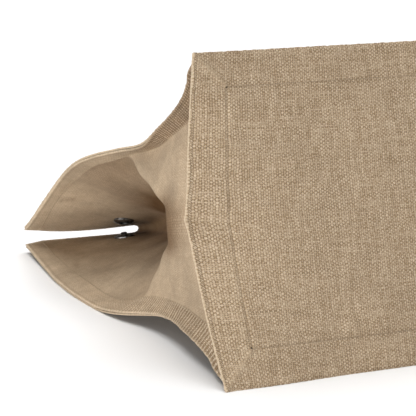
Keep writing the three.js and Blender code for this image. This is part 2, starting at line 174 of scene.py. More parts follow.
def sheet(name, face, back, cloth, bead=0.5, **marks):
    """A closed ply between two grids of points, with its border rounded by bead of its thickness."""
    height, width = face.shape[:2]
    count = height * width
    ids = np.arange(count).reshape(height, width)
    border = np.concatenate([ids[0, :-1], ids[:-1, -1], ids[-1, :0:-1], ids[:0:-1, 0]])
    edge = len(border)
    flat_face, flat_back = face.reshape(-1, 3), back.reshape(-1, 3)
    loop, thick = flat_face[border], (flat_back - flat_face)[border]
    away = unit(np.cross(np.roll(loop, -1, 0) - np.roll(loop, 1, 0), thick))
    away *= np.sign(((loop - flat_face.mean(0)) * away).sum())
    depth = size(thick)[:, None]
    rings = []
    for turn in (math.pi / 4, math.pi / 2, 3 * math.pi / 4):
        rings.append(loop + thick * (1 - math.cos(turn)) / 2 + away * depth * math.sin(turn) * bead)
    quads = np.stack([ids[:-1, :-1], ids[:-1, 1:], ids[1:, 1:], ids[1:, :-1]], -1).reshape(-1, 4)
    faces = [quads, quads[:, ::-1] + count]
    between = [2 * count + k * edge + np.arange(edge) for k in range(len(rings))]
    tracks = [border, *between, border + count]
    for upper, lower in zip(tracks, tracks[1:]):
        faces.append(np.stack([upper, lower, np.roll(lower, -1), np.roll(upper, -1)], -1))
    faces = np.concatenate(faces)
    points = np.concatenate([flat_face, flat_back, *rings])
    first, second, third = (points[faces[:, k]] for k in range(3))
    if (first * np.cross(second, third)).sum() < 0:
        faces = faces[:, ::-1]

    def spread(values):
        return np.concatenate([values, values, *[values[border]] * len(rings)])

    plain = {"sewn": 0.0, "border": 1.0, "crisp": 1.0, "shade": 0.0}
    grids = {label: marks.get(label, value) * np.ones((height, width)) for label, value in plain.items()}
    spread_marks = {label: spread(grid.reshape(-1)) for label, grid in grids.items()}
    return new_piece(name, points, faces.tolist(), spread(cloth.reshape(-1, 2)), spread_marks)


def closer_at(length, spacing, *places):
    """Stations along a length, spacing apart, with a few close ones at each place and at both ends."""
    stations = np.linspace(0, length, round(length / spacing) + 1)
    near = np.array([-1.8, -1.2, -0.7, -0.3, 0, 0.3, 0.7, 1.2, 1.8]) * mm
    ends = np.array([0.2, 0.5, 1.0, 1.6, 2.4]) * mm
    clearance = 0.0007
    fine = [*ends, *(length - ends), *(place + step for place in places for step in near)]
    kept = [s for s in stations if min(abs(s - f) for f in fine) > clearance or s in (0, length)]
    return np.array(sorted(kept + fine))


def hump(distance, reach):
    """1 at no distance, and softly down to 0 past its reach."""
    return np.exp(-((distance / reach) ** 2))


def pressed(distance):
    """How far a line of stitches draws the cloth in at a distance from it."""
    return hump(distance, 0.0007)


def round_corners(x, y, width, height, radius):
    """Moves points of a rectangle's square corners into round ones."""
    for centre_x, side_x in ((radius, -1), (width - radius, 1)):
        for centre_y, side_y in ((radius, -1), (height - radius, 1)):
            out_x, out_y = (x - centre_x) * side_x, (y - centre_y) * side_y
            inside = (out_x > 0) & (out_y > 0)
            share = np.maximum(out_x, out_y) / np.maximum(np.hypot(out_x, out_y), 1e-9)
            x = np.where(inside, centre_x + side_x * out_x * share, x)
            y = np.where(inside, centre_y + side_y * out_y * share, y)
    return x, y


corner_radius = 0.0012
mitre_width = 0.0014
mitre_height = 0.0007
fray_height = 0.00025
fray_length = 0.0024
fray_width = 0.0011
groove_depth = 0.00022
bulge_height = 0.0003
bulge_width = 0.005
rounding_depth = 0.0005
rounding_width = 0.0012
base_x = closer_at(bag_width, 0.0011, base_flange, bag_width - base_flange)
base_y = closer_at(base_depth, 0.0013, base_flange, base_depth - base_flange)
grid_x, grid_y = np.meshgrid(base_x, base_y)
from_side = np.minimum(grid_x, bag_width - grid_x)
from_level = np.minimum(grid_y, base_depth - grid_y)
from_edge = np.minimum(from_side, from_level)
base_sewn = pressed(from_edge - base_flange)
in_corner = np.maximum(from_side, from_level) < base_flange
mitre = np.where(in_corner, hump(from_side - from_level, mitre_width), 0)
round_x, round_y = round_corners(grid_x, grid_y, bag_width, base_depth, corner_radius)
fray = fray_height * sway(grid_x, grid_y, 5, fray_length) * smooth(1 - from_edge / fray_width)
round_x = round_x + fray * np.sign(grid_x - bag_width / 2) * (from_side < from_level)
round_y = round_y + fray * np.sign(grid_y - base_depth / 2) * (from_side >= from_level)
groove = groove_depth * base_sewn
bulge = bulge_height * hump(from_edge - base_flange, bulge_width) * (1 - base_sewn)
rounding = rounding_depth * smooth(1 - from_edge / rounding_width)
outer_depth = groove - linen_thickness - bulge - mitre_height * mitre + rounding
base_panel = sheet(
    "base_cloth",
    base_point(round_x, round_y / base_depth, outer_depth),
    base_point(round_x, round_y / base_depth, groove),
    np.stack([grid_x, grid_y], -1),
    bead=0.6,
    sewn=base_sewn,
    border=from_side,
    crisp=1 - 0.4 * mitre,
)


def node(tree, kind, **settings):
    made = tree.nodes.new(kind)
    for key, value in settings.items():
        setattr(made, key, value)
    return made


def feed(socket, value):
    """Gives a socket a constant or the output of another node."""
    if isinstance(value, bpy.types.NodeSocket):
        socket.id_data.links.new(value, socket)
    else:
        socket.default_value = value


def outputs(kind, inputs, **settings):
    """The outputs of a new node that is fed by name or number, in the tree of the first socket it is fed."""
    tree = next(value.id_data for value in inputs.values() if isinstance(value, bpy.types.NodeSocket))
    made = node(tree, kind, **settings)
    for key, value in inputs.items():
        feed(made.inputs[key], value)
    return made.outputs


def calc(operation, *values):
    """A Math node; each value is a number or a socket."""
    return outputs("ShaderNodeMath", dict(enumerate(values)), operation=operation)[0]


def stretch(value, low, high, to_low=0.0, to_high=1.0):
    values = dict(enumerate((value, low, high, to_low, to_high)))
    return outputs("ShaderNodeMapRange", values, interpolation_type="SMOOTHSTEP")[0]


def noise(vector, scale, detail=2.0, roughness=0.5):
    values = {"Vector": vector, "Scale": scale, "Detail": detail, "Roughness": roughness}
    return outputs("ShaderNodeTexNoise", values)["Fac"]


def blend_colours(share, first, second, blend="MIX"):
    values = {0: share, 6: first, 7: second}
    return outputs("ShaderNodeMix", values, data_type="RGBA", blend_type=blend)[2]


def join(x, y, z):
    return outputs("ShaderNodeCombineXYZ", {0: x, 1: y, 2: z})[0]


def toned(colour, tone):
    """A colour times a tone."""
    return blend_colours(1.0, colour, join(tone, tone, tone), "MULTIPLY")


def effect(name, inputs, results):
    """A shader node group with named inputs, each with its usual value, and named outputs."""
    kinds = {type(None): "NodeSocketVector", float: "NodeSocketFloat", tuple: "NodeSocketColor"}
    group = bpy.data.node_groups.new(name, "ShaderNodeTree")
    for label, usual in inputs.items():
        socket = group.interface.new_socket(label, in_out="INPUT", socket_type=kinds[type(usual)])
        if usual is not None:
            socket.default_value = usual
    for label in results:
        kind = "NodeSocketColor" if label == "Color" else "NodeSocketFloat"
        group.interface.new_socket(label, in_out="OUTPUT", socket_type=kind)
    start, end = group.nodes.new("NodeGroupInput"), group.nodes.new("NodeGroupOutput")
    return group, start.outputs, end.inputs


def make_weave():
    """Plain weave: threads that pass over and under each other, uneven in width, tone and thickness."""
    tree, given, result = effect(
        "plain_weave",
        {
            "Cloth": None,
            "Warp per metre": 900.0,
            "Weft per metre": 1280.0,
            "Contrast": 1.0,
            "Ribs": 0.0,
            "Light": (0.6, 0.5, 0.36, 1),
            "Dark": (0.33, 0.24, 0.15, 1),
            "Gap": (0.1, 0.06, 0.03, 1),
        },
        ["Color", "Height"],
    )
    roundness = 0.6
    lane_step, slub_run = 3.7, 0.06
    warp_body, weft_body = 0.58, 0.42
    own_tone, slub_tone, fibre_tone, top_tone, rib_tone = 0.18, 0.5, 0.85, 0.2, 0.55
    cloth = given["Cloth"]
    place = outputs("ShaderNodeSeparateXYZ", {0: cloth})
    shifted = outputs("ShaderNodeVectorMath", {0: cloth, 1: (0.7, 0.3, 0.1)}, operation="ADD")[0]

    def thread_count(length, pace, vector):
        """Threads counted along a length, with a slow and a quick drift."""
        wide = calc("MULTIPLY", noise(vector, 60), 2.0)
        drift = calc("MULTIPLY_ADD", noise(vector, 420), 0.8, wide)
        return calc("MULTIPLY_ADD", length, pace, drift)

    def wave(operation, count):
        return calc(operation, calc("MULTIPLY", count, math.pi))

    u = thread_count(place[0], given["Warp per metre"], cloth)
    v = thread_count(place[1], given["Weft per metre"], shifted)
    warp, weft = calc("FLOOR", u), calc("FLOOR", v)
    rib = wave("SINE", v)
    warp_bow, weft_bow = calc("ABSOLUTE", wave("SINE", u)), calc("ABSOLUTE", rib)
    side = wave("COSINE", calc("ADD", warp, weft))

    def thread_height(own_bow, other_bow, sign, slub, body):
        over = calc("MULTIPLY_ADD", calc("MULTIPLY", side, other_bow), 0.5 * sign, 0.5)
        crown = calc("MULTIPLY", calc("POWER", own_bow, roundness), over)
        return calc("MULTIPLY", crown, calc("ADD", slub, body))

    def slub(lane, run, seed):
        """Thick and thin stretches along one thread."""
        spot = join(calc("MULTIPLY", lane, lane_step), calc("MULTIPLY", run, slub_run), seed)
        return noise(spot, 1.0, 1.0)

    warp_slub, weft_slub = slub(warp, v, 0.0), slub(weft, u, 40.0)
    warp_high = thread_height(warp_bow, weft_bow, 1, warp_slub, warp_body)
    weft_high = thread_height(weft_bow, warp_bow, -1, weft_slub, weft_body)
    height = calc("MAXIMUM", warp_high, weft_high)
    on_top = calc("GREATER_THAN", warp_high, weft_high)
    lanes = {"Vector": join(warp, weft, 0.0)}
    own = outputs("ShaderNodeTexWhiteNoise", lanes, noise_dimensions="2D")["Value"]
    slubs = calc("MULTIPLY_ADD", calc("SUBTRACT", warp_slub, weft_slub), on_top, weft_slub)
    tone = calc("MULTIPLY", slubs, slub_tone)
    tone = calc("MULTIPLY_ADD", own, own_tone, tone)
    tone = calc("MULTIPLY_ADD", noise(cloth, 1300, 1), fibre_tone, tone)
    tone = calc("MULTIPLY_ADD", on_top, top_tone, tone)
    tone = calc("MULTIPLY_ADD", rib, calc("MULTIPLY", given["Ribs"], rib_tone), tone)
    thread = blend_colours(stretch(tone, 0.5, 1.35), given["Dark"], given["Light"])
    woven = blend_colours(stretch(height, 0.09, 0.6), given["Gap"], thread)
    plain = blend_colours(0.5, given["Dark"], given["Light"])
    feed(result["Color"], blend_colours(given["Contrast"], plain, woven))
    fibrous = calc("MULTIPLY_ADD", noise(cloth, 2600, 1), 0.18, height)
    feed(result["Height"], calc("MULTIPLY", fibrous, given["Contrast"]))
    return tree


def make_folded_edge():
    """The worn, pale crest of a folded edge, which is also a painted highlight where its rim catches the
    light, and the row of open holes that lies just inside it.
    """
    tree, given, result = effect("folded_edge", {"Cloth": None, "Border": 1.0}, ["Crest", "Holes"])
    hole_pitch = 0.0011
    place = outputs("ShaderNodeSeparateXYZ", {0: given["Cloth"]})
    # Painted highlight and wear: the outermost 0.4 mm of a folded edge turns pale.
    feed(result["Crest"], stretch(given["Border"], 0.0, 0.0004, 1, 0))
    run = calc("MULTIPLY", calc("ADD", place[0], place[1]), math.pi / hole_pitch)
    dots = stretch(calc("ABSOLUTE", calc("SINE", run)), 0.35, 0.9)
    near = stretch(given["Border"], 0.0006, 0.001)
    far = stretch(given["Border"], 0.0014, 0.0021, 1, 0)
    feed(result["Holes"], calc("MULTIPLY", dots, calc("MULTIPLY", near, far)))
    return tree


def make_cloth_tone():
    """Soft clouds of tone, painted shade along the line where cloth is sewn, and blotchy painted shade deep
    in its folds where its shade mark is set.
    """
    tree, given, result = effect(
        "cloth_tone",
        {"Color": (0.45, 0.35, 0.24, 1), "Place": None, "Unevenness": 0.055, "Sewn": 0.0, "Shade": 0.0},
        ["Color"],
    )
    # Painted shade: where the shade mark is set, the colour is multiplied towards this dark brown.
    shade_colour = (0.24, 0.155, 0.076, 1)
    low, high = (calc(way, 1.0, given["Unevenness"]) for way in ("SUBTRACT", "ADD"))
    clouds = stretch(noise(given["Place"], 22, detail=6, roughness=0.85), 0.3, 0.7, low, high)
    # Painted shade of the sewn groove: the colour is a little darker along a sewn line.
    seam = stretch(given["Sewn"], 0.3, 1.0, 1.0, 0.93)
    colour = toned(given["Color"], calc("MULTIPLY", clouds, seam))
    shade_amount = stretch(noise(given["Place"], 38, 4), 0.3, 0.7, 0.92, 1.08)
    shade_amount = calc("MULTIPLY", given["Shade"], shade_amount)
    feed(result["Color"], blend_colours(shade_amount, colour, shade_colour, "MULTIPLY"))
    return tree


weave, folded_edge, cloth_tone = make_weave(), make_folded_edge(), make_cloth_tone()


def new_material(name):
    material = bpy.data.materials.new(name)
    material.use_nodes = True
    return material, material.node_tree, material.node_tree.nodes["Principled BSDF"]


def raised(shader, height, distance, strength=0.6):
    """Feeds a height to the shader's normal."""
    values = {"Strength": strength, "Distance": distance, "Height": height}
    feed(shader.inputs["Normal"], outputs("ShaderNodeBump", values)[0])


def mark(tree, label):
    return node(tree, "ShaderNodeAttribute", attribute_name=label).outputs["Fac"]


def object_place(tree):
    return node(tree, "ShaderNodeTexCoord").outputs["Object"]


def woven_material(
    name, light, dark, gap, warp=900.0, weft=1280.0, relief=0.0002, fold=1.0, ribs=0.0, uneven=0.055
):
    """Cloth of one weave with a pale folded edge of wear and painted highlight, soft clouds of tone, and
    painted shade in seams and folds.
    """
    material, tree, shader = new_material(name)
    cloth = node(tree, "ShaderNodeUVMap", uv_map="cloth").outputs[0]
    crisp = mark(tree, "crisp")
    threads = outputs("ShaderNodeGroup", node_tree=weave, inputs={
        "Cloth": cloth,
        "Warp per metre": warp,
        "Weft per metre": weft,
        "Contrast": crisp,
        "Ribs": stretch(crisp, 0.4, 1.0, 0, ribs),
        "Light": light,
        "Dark": dark,
        "Gap": gap,
    })
    edge_inputs = {"Cloth": cloth, "Border": mark(tree, "border")}
    edge = outputs("ShaderNodeGroup", edge_inputs, node_tree=folded_edge)
    crest_share, hole_share = 0.65, 0.5
    crest = calc("MULTIPLY", edge["Crest"], crest_share * fold)
    holes = calc("MULTIPLY", edge["Holes"], hole_share * fold)
    colour = blend_colours(crest, threads["Color"], light)
    colour = blend_colours(holes, colour, gap)
    finish = outputs("ShaderNodeGroup", node_tree=cloth_tone, inputs={
        "Color": colour,
        "Place": object_place(tree),
        "Unevenness": uneven,
        "Sewn": mark(tree, "sewn"),
        "Shade": mark(tree, "shade"),
    })
    feed(shader.inputs["Base Color"], finish["Color"])
    feed(shader.inputs["Roughness"], stretch(threads["Height"], 0, 1, 0.98, 0.82))
    shader.inputs["Specular IOR Level"].default_value = 0.25
    raised(shader, threads["Height"], relief)
    return material


linen_light = (0.62, 0.50, 0.36, 1)
linen_dark = (0.27, 0.178, 0.095, 1)
linen_gap = (0.07, 0.045, 0.025, 1)
linen = woven_material("natural_linen", linen_light, linen_dark, linen_gap)


def belongs(piece, material, body, slot, *nodes):
    """Gives a piece its finish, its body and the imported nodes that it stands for."""
    piece.data.materials.append(material)
    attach(piece, body)
    if nodes:
        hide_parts(*nodes)


belongs(base_panel, linen, "bag", "linen", "base_panel")

# Topstitching of the base. A single row of linen thread, 16 mm in from the folded edges, eleven stitches
# to 29 mm; it draws the cloth in, and painted shade darkens the line.
stitch_pitch = 0.0026
thread_radius = 0.00024
thread_bed = 0.00035


def run_along(line):
    """Lengths along a line of points, from its start."""
    return np.concatenate([[0], np.cumsum(size(np.diff(line, axis=0)))])


def read_line(values, run, spots):
    """Values of a line at some lengths of its run."""
    return np.stack([np.interp(spots, run, values[:, k]) for k in range(3)], -1)


def tube_faces(count, rings, sides):
    """Faces of closed tubes that all have the same rings and sides."""
    ids = np.arange(count * rings * sides).reshape(count, rings, sides)
    after = np.roll(ids, -1, 2)
    walls = np.stack([ids[:, :-1], after[:, :-1], after[:, 1:], ids[:, 1:]], -1).reshape(-1, 4)
    return walls.tolist() + ids[:, 0, ::-1].tolist() + ids[:, -1].tolist()


def circle(side, up, sides):
    """Directions round a circle."""
    turn = (np.arange(sides) * 2 * np.pi / sides)[:, None]
    return side[..., None, :] * np.cos(turn) + up[..., None, :] * np.sin(turn)


def stitches(line, normal):
    """Points and faces of a row of stitches that lie along a line of points on a surface."""
    run = run_along(line)
    count = max(1, round(run[-1] / stitch_pitch))
    share = np.array([0.09, 0.2, 0.5, 0.8, 0.91])
    width = np.array([0.45, 0.95, 1.0, 0.95, 0.45]) * thread_radius
    lift = np.array([-1.3, 0.2, 0.75, 0.2, -1.3]) * thread_radius
    flatness, glance, sides = 0.85, 0.0004, 6
    spots = (np.arange(count)[:, None] + share) * run[-1] / count
    up = read_line(normal, run, spots)
    ahead = unit(read_line(line, run, spots + glance) - read_line(line, run, spots - glance))
    centre = read_line(line, run, spots) + up * lift[:, None]
    ring = circle(unit(np.cross(ahead, up)), up * flatness, sides)
    points = (centre[..., None, :] + ring * width[:, None, None]).reshape(-1, 3)
    return points, tube_faces(count, len(share), sides)


def sew(name, material, body, slot, *lines):
    """One piece of thread that holds every row of stitches given as a line and its normals."""
    points, faces, count = [], [], 0
    for line, normal in lines:
        some, more = stitches(line, normal)
        points.append(some)
        faces += [[k + count for k in face] for face in more]
        count += len(some)
    belongs(new_piece(name, np.concatenate(points), faces), material, body, slot)


def needle_holes(line, normal, radius=0.0004, lift=0.00006):
    """Small near-black discs, the painted shade of the needle holes between the stitches of a line: centres,
    normals and radii.
    """
    run = run_along(line)
    spots = np.linspace(0, run[-1], max(1, round(run[-1] / stitch_pitch)) + 1)
    up = read_line(normal, run, spots)
    return read_line(line, run, spots) + up * lift, up, np.full(len(spots), radius)


def pierce(name, material, body, slot, *rows):
    """One piece that holds flat round discs of painted shade for holes, given as centres, normals and radii.
    """
    centre, up, radius = (np.concatenate(part) for part in zip(*rows))
    side = unit(np.cross(up, np.array([0.3, 0.5, 0.8])))
    sides = 8
    rings = centre[:, None] + circle(side, np.cross(up, side), sides) * radius[:, None, None]
    points = rings.reshape(-1, 3)
    faces = np.arange(len(points)).reshape(-1, sides).tolist()
    belongs(new_piece(name, points, faces), material, body, slot)


def make_thread_twist():
    """The slanting turns of a twisted thread, in its tone and its height."""
    tree, given, result = effect(
        "thread_twist",
        {"Place": None, "Light": (0.46, 0.35, 0.225, 1), "Dark": (0.32, 0.245, 0.158, 1)},
        ["Color", "Height"],
    )
    values = {"Vector": given["Place"], "Scale": 900, "Distortion": 1.5}
    turn = outputs("ShaderNodeTexWave", values, wave_type="BANDS", bands_direction="DIAGONAL")["Fac"]
    feed(result["Color"], blend_colours(turn, given["Dark"], given["Light"]))
    feed(result["Height"], turn)
    return tree


thread_twist = make_thread_twist()


def thread_material(name, colour):
    material, tree, shader = new_material(name)
    dark = [0.7 * share for share in colour]
    values = {"Place": object_place(tree), "Light": (*colour, 1), "Dark": (*dark, 1)}
    twist = outputs("ShaderNodeGroup", values, node_tree=thread_twist)
    feed(shader.inputs["Base Color"], twist["Color"])
    shader.inputs["Roughness"].default_value = 0.7
    raised(shader, twist["Height"], 0.0001, strength=0.5)
    return material


linen_thread = thread_material("linen_thread", (0.36, 0.265, 0.165))
# Near-black, fully rough discs: painted shade in the needle holes.
needle_dark, _, shader = new_material("needle_hole_shade")
shader.inputs["Base Color"].default_value = (0.035, 0.022, 0.012, 1)
shader.inputs["Roughness"].default_value = 1.0


def on_base(x, y):
    """Points of a line on the base's outer face, with its normals."""
    outer = base_point(x, y / base_depth, thread_bed - linen_thickness)
    return outer, np.tile(-inward, (len(outer), 1))


near, far, left, right = base_flange, base_depth - base_flange, base_flange, bag_width - base_flange
base_rows = [on_base(np.linspace(left, right, 300), y) for y in (near, far)]
base_rows += [on_base(x, np.linspace(near, far, 200)) for x in (left, right)]
sew("base_topstitching", linen_thread, "bag", "linen", *base_rows)
# A few more discs round each corner of the row, painted shade of the holes where the stitching turns.
corner_hole_x, corner_hole_y = np.array([0, -0.0014, 0.0016]), np.array([0, 0.0003, -0.0008])
corner_hole_radii, corner_hole_lift = np.array([0.0007, 0.0006, 0.0006]), 0.0002
corner_holes = []
for x in (left, right):
    for y in (near, far):
        spot, up = on_base(x + corner_hole_x, y + corner_hole_y)
        corner_holes.append((spot + up * corner_hole_lift, up, corner_hole_radii))
base_holes = [needle_holes(line, up) for line, up in base_rows]
pierce("base_needle_hole_shade", needle_dark, "bag", "linen", *base_holes, *corner_holes)

# Stiffener board and cotton lining of the base. A grey board, 2 mm thick, stands behind the linen between
# its seams, and a fine cotton lining covers it on the inside.
board_thickness = 0.002
lining_thickness = 0.0005
side_margin = 0.075
seam_margin = 0.153


def behind_base(front, back):
    """Two grids behind the base, clear of its pinched seams."""
    x = base_flange + (bag_width - 2 * base_flange) * np.linspace(side_margin, 1 - side_margin, 90)
    level = seam_share + (1 - 2 * seam_share) * seam_margin
    x, t = np.meshgrid(x, np.linspace(level, 1 - level, 40))
    return base_point(x, t, front), base_point(x, t, back), np.stack([x, t * base_depth], -1)


def make_fine_grain():
    """Fine grain in the height of a plain finish, and faint clouds in its tone."""
    tree, given, result = effect(
        "fine_grain",
        {"Color": (0.5, 0.5, 0.5, 1), "Place": None, "Grains per metre": 900.0},
        ["Color", "Height"],
    )
    cloud_pace = calc("DIVIDE", given["Grains per metre"], 12)
    clouds = stretch(noise(given["Place"], cloud_pace, 3), 0.3, 0.7, 0.88, 1.06)
    feed(result["Color"], toned(given["Color"], clouds))
    feed(result["Height"], noise(given["Place"], given["Grains per metre"], 3))
    return tree


fine_grain = make_fine_grain()


def plain_finish(name, colour, roughness, grains, depth):
    material, tree, shader = new_material(name)
    values = {"Color": colour, "Place": object_place(tree), "Grains per metre": grains}
    grain = outputs("ShaderNodeGroup", values, node_tree=fine_grain)
    feed(shader.inputs["Base Color"], grain["Color"])
    shader.inputs["Roughness"].default_value = roughness
    raised(shader, grain["Height"], depth)
    return material


grey_board = plain_finish("grey_board", (0.25, 0.24, 0.22, 1), roughness=0.9, grains=900, depth=0.0001)
cotton = woven_material(
    "cotton_lining",
    (0.74, 0.66, 0.52, 1),
    (0.5, 0.43, 0.31, 1),
    (0.3, 0.25, 0.17, 1),
    warp=2100,
    weft=2300,
    relief=0.0001,
)
face, back, cloth = behind_base(ply_gap, ply_gap + board_thickness)
board = sheet("stiffener_board", face, back, cloth, bead=0.1)
belongs(board, grey_board, "bag", "board", "base_board")
lining_start = 2 * ply_gap + board_thickness
face, back, cloth = behind_base(lining_start, lining_start + lining_thickness)
base_lining = sheet("base_lining_cloth", face, back, cloth)
belongs(base_lining, cotton, "bag", "cotton", "base_lining")

# Front and back panels. Linen sewn behind the base along its 16 mm seam and pinched to the gussets along
# both sides, with a stitched hem at the mouth and a boxed row of stitches over each handle tail. The front
# one sags a little, and the back one lies flat on the surface.
front_sag = 0.006
rim_height = 0.019
front_ease = 0.110
back_ease = 0.055
floor_reach = 0.3
seam_lines = {
    "front": {
        "inset": [16, 17.5, 19, 21, 16.5, 9, 7, 6, 6.5],
        "lift": [0, -1, -1, 1, 6.5, 11, 11.5, 7.5, 0],
        "rim": 0.0136,
        "tilt": [45, 48, 48, 14, 18, 15, 10, 8, 8],
        "width": [20, 14.3, 10.8, 9.1, 8.2, 8.3, 8.3, 7.5, 7.9, 9, 9.3, 8.9, 7.9, 6.9, 6.6, 7.5, 9],
        "start": 1 - seam_share,
        "side": 1,
    },
    "back": {
        "inset": [16, 12, 12, 12.5, 7, 4, 4, 5.5, 8],
        "lift": [0, 3.9, 5.7, 2.4, -6.6, -5.6, -4.3, -2.7, 0],
        "rim": 0.0053,
        "tilt": [-45, -46, -52, -40, -12, -11, -10, -8, -8],
        "width": [21, 14.3, 11.1, 10, 8.9, 9.4, 11.6, 13.4, 13.3, 13.1, 13, 12.6, 12, 11, 10.3, 10.1, 10],
        "start": seam_share,
        "side": -1,
    },
}


def along(values, v):
    """A smooth value through evenly spaced stations."""
    values, v = np.asarray(values, float), np.asarray(v, float)
    last = len(values) - 1
    k = np.clip(np.floor(v * last), 0, last - 1).astype(int)
    s = v * last - k
    before, first, second, after = (values[np.clip(k + step, 0, last)] for step in (-1, 0, 1, 2))
    slope_in, slope_out = (second - before) / 2, (after - first) / 2
    a = 2 * first - 2 * second + slope_in + slope_out
    b = 3 * (second - first) - 2 * slope_in - slope_out
    return ((a * s + b) * s + slope_in) * s + first


def seam(which, v):
    """The side seam on the left, v of the way from the base seam to the mouth."""
    path = seam_lines[which]
    start = base_point(base_flange, path["start"], seam_gap)
    x = along(path["inset"], v) * mm
    y = lerp(start[1], mouth_reach, v)
    z = lerp(start[2], path["rim"], v) + along(path["lift"], v) * mm
    return np.stack([x, y, z], -1)


def flange(which, v):
    """The outer edge of the pinched strip outside a side seam, and the direction across its two plies."""
    v = np.asarray(v, float)
    step = 0.02
    run = unit(seam(which, np.minimum(v + step, 1)) - seam(which, np.maximum(v - step, 0)))
    out = unit(np.array([-1.0, 0, 0]) + run * run[..., :1])
    tilt = np.radians(along(seam_lines[which]["tilt"], v))[..., None]
    direction = out * np.cos(tilt) + np.cross(run, out) * np.sin(tilt)
    width = along(seam_lines[which]["width"], v)[..., None] * mm
    return seam(which, v) + direction * width, unit(np.cross(run, direction))


def panel_face(which, u, v):
    """Inner face of the front or back panel at shares u across it and v from the base to the mouth."""
    path = seam_lines[which]
    side = path["side"]
    corner = seam(which, v) + flange(which, v)[1] * side * ply_gap / 2
    cx, cy, cz = (corner[..., k] for k in range(3))
    x = lerp(cx, bag_width - cx, u)
    start = base_point(x, path["start"], seam_gap)
    reach = front_ease if side > 0 else back_ease
    edge = ease(np.minimum(x - cx, bag_width - cx - x) / reach)
    if side > 0:
        middle = lerp(start[..., 2], rim_height, v) - front_sag * np.sin(np.pi * v)
    else:
        middle = linen_thickness + (start[..., 2] - linen_thickness) * ease(v / floor_reach)
    y = lerp(lerp(start[..., 1], mouth_reach, v), cy, edge)
    return np.stack([x, y, lerp(middle, cz, edge)], -1)


def opposite(points):
    return points * np.array([-1, 1, 1]) + np.array([bag_width, 0, 0])


def soften(rows, times):
    """Rounds the folds of a grid; its border stays."""
    rows = rows.copy()
    for _ in range(times):
        around = rows[:-2, 1:-1] + rows[2:, 1:-1] + rows[1:-1, :-2] + rows[1:-1, 2:]
        rows[1:-1, 1:-1] = rows[1:-1, 1:-1] / 2 + around / 8
    return rows


strip_shares = np.array([1, 0.97, 0.9, 0.8, 0.7, 0.6, 0.5, 0.4, 0.3, 0.2, 0.11, 0.04])
turn_in = np.array([1, 0.97, 0.9, 0.75, 0.55, 0.35, 0.18, 0.08])
strips, turned = len(strip_shares), len(turn_in)
near_seam = [0, 0.001, 0.002, 0.0035, 0.005, 0.0075]
left_u = np.concatenate([near_seam, np.arange(0.01, 0.12, 0.0035), np.linspace(0.12, 0.5, 50)])
panel_u = np.concatenate([left_u, 1 - left_u[-2::-1]])
near_ends = np.array([0, 0.003, 0.007, 0.013, 0.02])
panel_v = np.concatenate([near_ends, np.linspace(0.03, 0.97, 150), 1 - near_ends[::-1]])
corner_tip = 0.003
fold_inset = 0.0045
held_flat = 0.05


def side_strip(which, v, seam_line, ply, tip_x, tip_share):
    """The pinched strip outside a side seam: the panel's ply, or for ply -1 the gusset's."""
    side, start = seam_lines[which]["side"], seam_lines[which]["start"]
    edge, across = flange(which, v)
    edge = edge + across * side * ply * ply_gap / 2
    edge = lerp(base_point(tip_x, tip_share, seam_gap), edge, smooth(v / held_flat)[:, None])
    strip = lerp(seam_line, edge[:, None], strip_shares[:, None])
    first_x, first_share = lerp(base_flange, tip_x, strip_shares), lerp(start, tip_share, strip_shares)
    strip[0] = base_point(first_x, first_share, seam_gap)
    return strip


def panel_rows(which):
    """A whole panel: its allowance behind the base, its face, and its two side strips."""
    side, start = seam_lines[which]["side"], seam_lines[which]["start"]
    tip_share, fold_share = (0.985, 0.99) if side > 0 else (0.015, 0.01)
    face = panel_face(which, *np.meshgrid(panel_u, panel_v))
    strip = side_strip(which, panel_v, face[:, :1], 1, corner_tip, tip_share)
    body = np.concatenate([strip, face, opposite(strip)[:, ::-1]], 1)
    share = turn_in[:, None]
    level_x = np.tile(lerp(base_flange, bag_width - base_flange, panel_u), (turned, 1))
    level_t = lerp(start, fold_share, share) + 0 * level_x
    strip_x = lerp(base_flange, lerp(corner_tip, fold_inset, share), strip_shares)
    strip_t = lerp(lerp(start, fold_share, share), lerp(tip_share, fold_share, share), strip_shares)
    x = np.concatenate([strip_x, level_x, bag_width - strip_x[:, ::-1]], 1)
    t = np.concatenate([strip_t, level_t, strip_t[:, ::-1]], 1)
    return np.concatenate([base_point(x, t, seam_gap), body], 0)


def measured(rows):
    """Cloth coordinates of a grid: lengths along its middle row and middle column."""
    middle_row, middle_column = rows[rows.shape[0] // 2], rows[:, rows.shape[1] // 2]
    return np.stack(np.meshgrid(run_along(middle_row), run_along(middle_column)), -1)


def from_ends(count):
    return np.minimum(np.arange(count), np.arange(count)[::-1])


def creased(rows, amplitude, length, seed):
    """Adds soft unevenness to a grid, none of it at the border."""
    cloth = measured(rows)
    still_rows, still_columns = 10, 16
    down, across = from_ends(rows.shape[0]) / still_rows, from_ends(rows.shape[1]) / still_columns
    inside = smooth(np.minimum.outer(down, across))
    wave = sway(cloth[..., 0], cloth[..., 1], seed, length) * inside
    return rows + normals(rows) * (wave * amplitude)[..., None]


def frayed(rows, seed, height=0.0003, length=0.005):
    """Threads stand out a little along the side edges of a grid."""
    rows = rows.copy()
    run = np.arange(len(rows)) * 0.4 * length
    for column, inner in ((0, 1), (-1, -2)):
        away = unit(rows[:, column] - rows[:, inner])
        rows[:, column] += away * height * sway(run, run, seed, length)[:, None]
    return rows


def from_border(rows):
    """Distance to the nearest side edge or to the rim, along the cloth."""
    cloth = measured(rows)
    to_side = np.minimum(size(rows - rows[:, :1]), size(rows - rows[:, -1:]))
    return np.minimum(to_side, cloth[-1, 0, 1] - cloth[..., 1])


